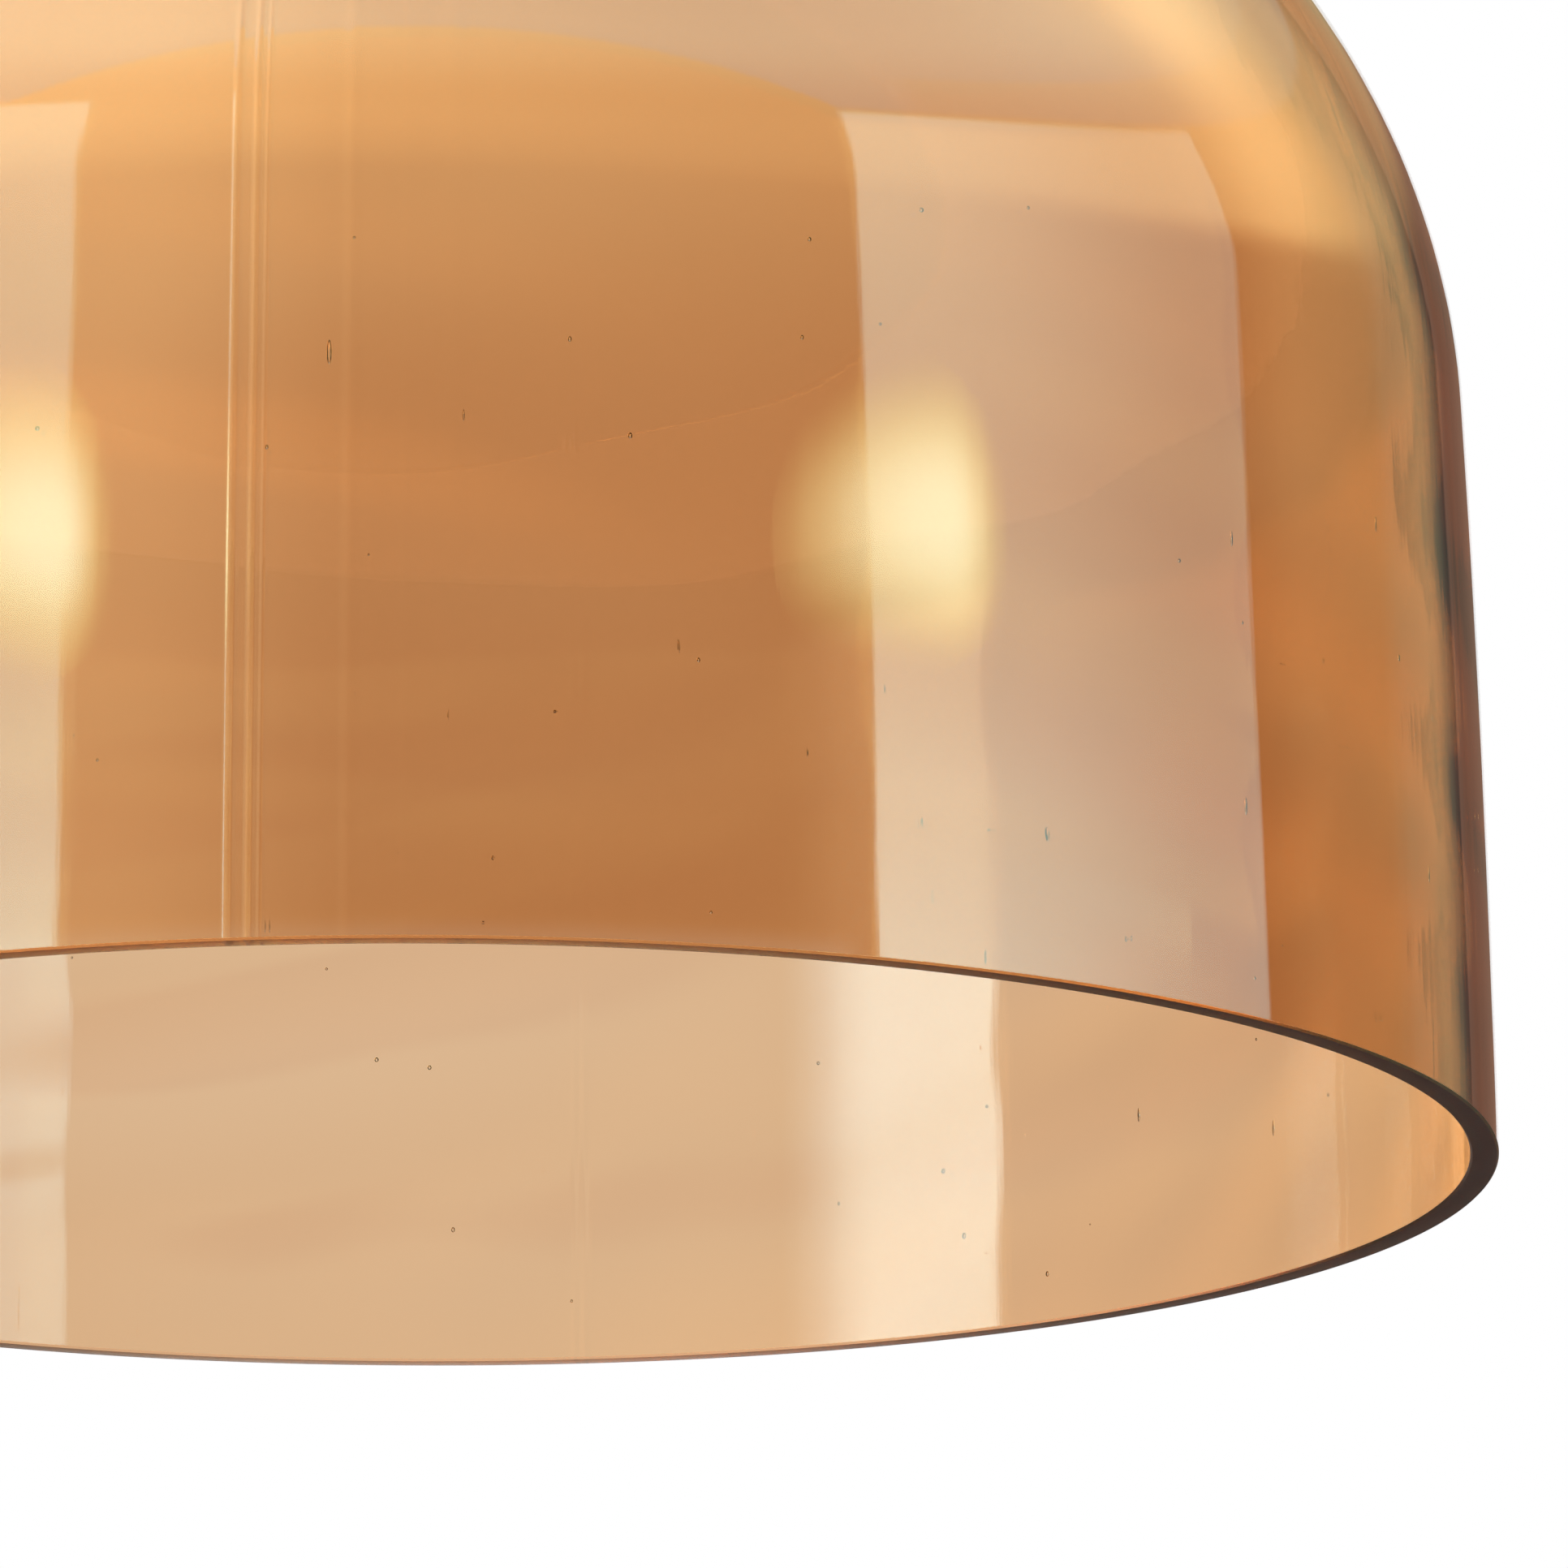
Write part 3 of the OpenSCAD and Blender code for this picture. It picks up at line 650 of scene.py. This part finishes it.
# %% Softboxes, each a mask and its red, green and blue strength
box_top = 29.5
inner_pass = room.maths("GREATER_THAN", Value(room, light_path.outputs["Transmission Depth"]), 2.5)
low_part = room.ease(up, 4.0, 8.5) * (1 - room.ease(up, 10.9, 12.1)) * (1 - 0.55 * inner_pass)
upper_part = room.band(up, 11.5, box_top, 0.6)
toward_rim = 1 + 0.9 * room.ease(0 - up, -18.0, -13.0)
right_falloff = 1 - 0.62 * room.ease(around, 52.0, 100.0)
right_box = room.band(around, 48.8, 101.0, 0.5)
left_box = room.band(around, -69.3, -38.6, 0.5)
lights = [(right_box * upper_part * toward_rim * right_falloff, (2.3, 4.0, 3.9))]
lights += [(room.band(around, 41.0, 90.0, 0.5) * low_part, (3.0, 7.5, 13.0))]
lights += [(left_box * upper_part * toward_rim, (1.3, 3.0, 3.1))]
left_glow = room.ease(0 - around, 41.5, 54.0) * (1 - room.ease(0 - around, 68.5, 70.1))
lights += [(left_glow * low_part, (8.0, 17.0, 28.0))]
print(len(lights), "softbox faces")

# %% The light overhead, whose front edge is a straight line
edge = room.maths("ARCTANGENT", room.maths("COSINE", around / degrees) * 0.878) * degrees
edge = room.maths("MAXIMUM", edge, 30.0)
ceiling_edge = room.ease(side, 55.0, 62.0) * (1 - room.ease(up, 34.2, 35.0))
overhead = room.ease(up - edge, -0.5, 0.5) * (1 - 0.8 * room.ease(side, 80.0, 120.0))
overhead = overhead * (1 - 0.35 * ceiling_edge)
lights += [(overhead, (0.7, 1.8, 2.1))]
print("overhead light drawn")

# %% The dim room: soft spill from the left and from above, and a glint near the rim
leftward = room.ease(0 - around, -45.0, 30.0)
shoulder = 1 - 0.85 * room.ease(side, 112.0, 142.0)
lights += [(room.ease(up, 15.0, 28.0) * (0.4 + 0.6 * leftward) * shoulder, (3.2, 2.3, 0.9))]
lights += [(room.ease(up, 18.6, 22.0) * (1 - overhead) * shoulder, (1.9, 1.6, 0.7))]
lights += [(room.ease(up, 29.0, 41.0) * shoulder, (1.2, 1.7, 1.2))]
lights += [(room.ease(0 - around, 3.0, 38.0) * room.ease(up, 8.0, 12.0), (2.2, 1.9, 1.0))]
lights += [(room.band(up, 8.0, 13.0, 0.7) * (1 - room.ease(side, 44.0, 48.0)), (0.9, 1.6, 1.6))]
grazing = room.ease(side, 97.0, 112.0) * (1 + 0.6 * room.ease(up, 14.8, 19.0) * shoulder)
grazing = grazing * (0.35 + 0.65 * room.ease(around, -5.0, 5.0))
lights += [(grazing * (1 - room.ease(side, 140.0, 151.0)), (0.6, 0.5, 0.22))]
lights += [(room.band(side, 130.0, 151.0, 4.0), (0.0, 0.12, 0.12))]
lights += [(room.ease(side, 168.0, 169.0) * room.ease(up, -8.0, -4.0), (1.0, 1.0, 1.0))]
lights += [(room.band(side, 151.0, 168.5, 0.6), (0.25, 0.14, 0.09))]
room_tone = (0.04, 0.035, 0.03)
print(len(lights), "lights in the room")

# %% The dark card, and which light a ray sees
edge_wave = room.noise(room.add("ShaderNodeCombineXYZ", sockets={"Z": up * 1.1}), 1.0, 3.0)
card = room.ease(side + (edge_wave - 0.5) * 16.0, 150.4, 151.0) * (1 - room.ease(side, 168.2, 168.8))
card = card * room.ease(up, 5.0, 8.0) * (1 - room.ease(up, 18.0, 21.0))
card = card * room.maths("GREATER_THAN", around, 0.0)
card_depth = 0.8
scatter_tone = 0.9
straight = 1 - path("Transmission Depth") * card * card_depth
reflected = path("Glossy Depth")
scattered = path("Diffuse Depth")
channels = []
for channel in range(3):
    glint = room_tone[channel]
    for mask, strength in lights:
        glint = glint + mask * strength[channel]
    seen = straight * (1 - reflected) + glint * reflected
    channels.append(seen * (1 - scattered) + scattered * scatter_tone)
tone = room.add("ShaderNodeCombineColor", sockets=dict(zip(("Red", "Green", "Blue"), channels)))
glow = room.add("ShaderNodeBackground", sockets={"Color": tone, "Strength": 1.0})
room.add("ShaderNodeOutputWorld", sockets={"Surface": glow})
print("studio drawn")

# %% [markdown]
# ## Warm glints
#
# Two small lamps show as soft yellow glints. Each is a disc with its own UV map, whose light
# fades out from a point beside its middle, so the glint has one crisp side and one that trails
# off. A disc is placed by working back from the spot on the glass where its glint should be.

# %% Two small warm lamps, seen only as glints in the glass
def warm_lamp(name, surface_angle, height, glint_angle, rise, reach, size):
    angle = math.radians(surface_angle)
    radius = skirt_r(height)
    start = Vector((radius * math.sin(angle), -radius * math.cos(angle), rim_z + height))
    heading = math.radians(glint_angle)
    climb = math.radians(rise)
    beam = Vector((math.sin(heading) * math.cos(climb), -math.cos(heading) * math.cos(climb),
                   math.sin(climb)))
    disc = bmesh.new()
    turn = beam.to_track_quat("Z", "Y").to_matrix().to_4x4()
    place = Matrix.Translation(start + beam * reach) @ turn @ Matrix.Diagonal((*size, 1, 1))
    bmesh.ops.create_circle(disc, cap_ends=True, radius=1.0, segments=48, matrix=place)
    loops = disc.loops.layers.uv.new("disc")
    for face in disc.faces:
        for loop in face.loops:
            spot = place.inverted() @ loop.vert.co
            loop[loops].uv = (spot.x, spot.y)
    mesh = bpy.data.meshes.new(name)
    disc.to_mesh(mesh)
    disc.free()
    lamp = bpy.data.objects.new(name, mesh)
    bpy.context.scene.collection.objects.link(lamp)
    mesh.materials.append(lamp_finish)
    lamp.visible_camera = False
    lamp.visible_diffuse = False
    lamp.visible_transmission = False
    lamp.visible_shadow = False


lamp_finish = bpy.data.materials.new("warm_lamp")
lamp_finish.use_nodes = True
lamp_bench = Bench(lamp_finish.node_tree)
spot = lamp_bench.add("ShaderNodeUVMap", {"uv_map": "disc"})
across = lamp_bench.add("ShaderNodeSeparateXYZ", sockets={0: spot}, output=0)
rise_uv = Value(lamp_bench, across.socket.node.outputs["Y"])
beside = across - 0.42
beside = beside * (0.62 + 1.3 * lamp_bench.maths("GREATER_THAN", beside, 0.0))
reach_out = lamp_bench.maths("SQRT", beside * beside + rise_uv * rise_uv)
core = 1 - lamp_bench.ease(reach_out, 0.1, 1.0)
hue = lamp_bench.mix(core, (1.0, 0.95, 0.3, 1), (0.8, 1.0, 0.68, 1))
warm = lamp_bench.add("ShaderNodeEmission", sockets={"Color": hue, "Strength": 15.0})
dark = lamp_bench.add("ShaderNodeBsdfTransparent")
faded = lamp_bench.add("ShaderNodeMixShader", sockets={0: core, 1: dark, 2: warm})
lamp_bench.add("ShaderNodeOutputMaterial", sockets={"Surface": faded})
warm_lamp("warm_lamp_right", 24.8, 0.0605, 52.0, 17.8, 0.45, (0.13, 0.034))
warm_lamp("warm_lamp_left", -21.5, 0.058, -45.5, 17.9, 0.45, (0.12, 0.034))
print("two warm lamps")

# %% [markdown]
# ## Soft lights and the floor
#
# Brass, rubber and porcelain need light that falls on them, so two large area lights stand
# beside the camera. Glass would show them as hard rectangles, so glossy rays don't see them.
# The floor is clear from below, because the camera looks up from under it in some views.

# %% Soft lights for the parts that aren't glass
def soft_light(name, place, size, power):
    lamp = bpy.data.lights.new(name, "AREA")
    lamp.shape = "RECTANGLE"
    lamp.size = size[0]
    lamp.size_y = size[1]
    lamp.energy = power
    thing = bpy.data.objects.new(name, lamp)
    aim = Vector((0.0, 0.0, cup_lo.z)) - Vector(place)
    thing.matrix_world = Matrix.Translation(place) @ aim.to_track_quat("-Z", "Y").to_matrix().to_4x4()
    thing.visible_glossy = False
    thing.visible_transmission = False
    bpy.context.scene.collection.objects.link(thing)
    return thing


soft_light("softbox_right", (1.6, -1.3, 0.4), (1.0, 1.4), 30.0)
soft_light("softbox_left", (-1.5, -1.6, 0.5), (1.0, 1.4), 18.0)
print("two soft lights")

# %% The floor, far below the hanging lamp
floor_drop = 2.2
floor_r = 30.0
tiles = bmesh.new()
bmesh.ops.create_circle(tiles, cap_ends=True, radius=floor_r, segments=96,
                        matrix=Matrix.Translation((0, 0, -floor_drop)))
floor_mesh = bpy.data.meshes.new("floor")
tiles.to_mesh(floor_mesh)
tiles.free()
floor = bpy.data.objects.new("floor", floor_mesh)
bpy.context.scene.collection.objects.link(floor)
floor.visible_glossy = False
floor_finish = bpy.data.materials.new("pale_floor")
floor_finish.use_nodes = True
sweep = Bench(floor_finish.node_tree)
matt = sweep.add("ShaderNodeBsdfDiffuse", sockets={"Color": (0.96, 0.96, 0.95, 1)})
see_through = sweep.add("ShaderNodeBsdfTransparent")
underside = sweep.add("ShaderNodeNewGeometry", output=6)
mixed = sweep.add("ShaderNodeMixShader", sockets={0: underside, 1: matt, 2: see_through})
sweep.add("ShaderNodeOutputMaterial", sockets={"Surface": mixed})
floor_mesh.materials.append(floor_finish)
print("floor laid")

# %% [markdown]
# ## Film and light paths
#
# The Standard view keeps the white backdrop white. Light crosses the bell's four surfaces and
# bounces between them, so the paths are allowed many more turns than usual.

# %% Film settings that keep the white backdrop white
scene = bpy.context.scene
scene.view_settings.view_transform = "Standard"
scene.cycles.max_bounces = 24
scene.cycles.transmission_bounces = 24
scene.cycles.glossy_bounces = 12
scene.cycles.caustics_reflective = False
print("film set")
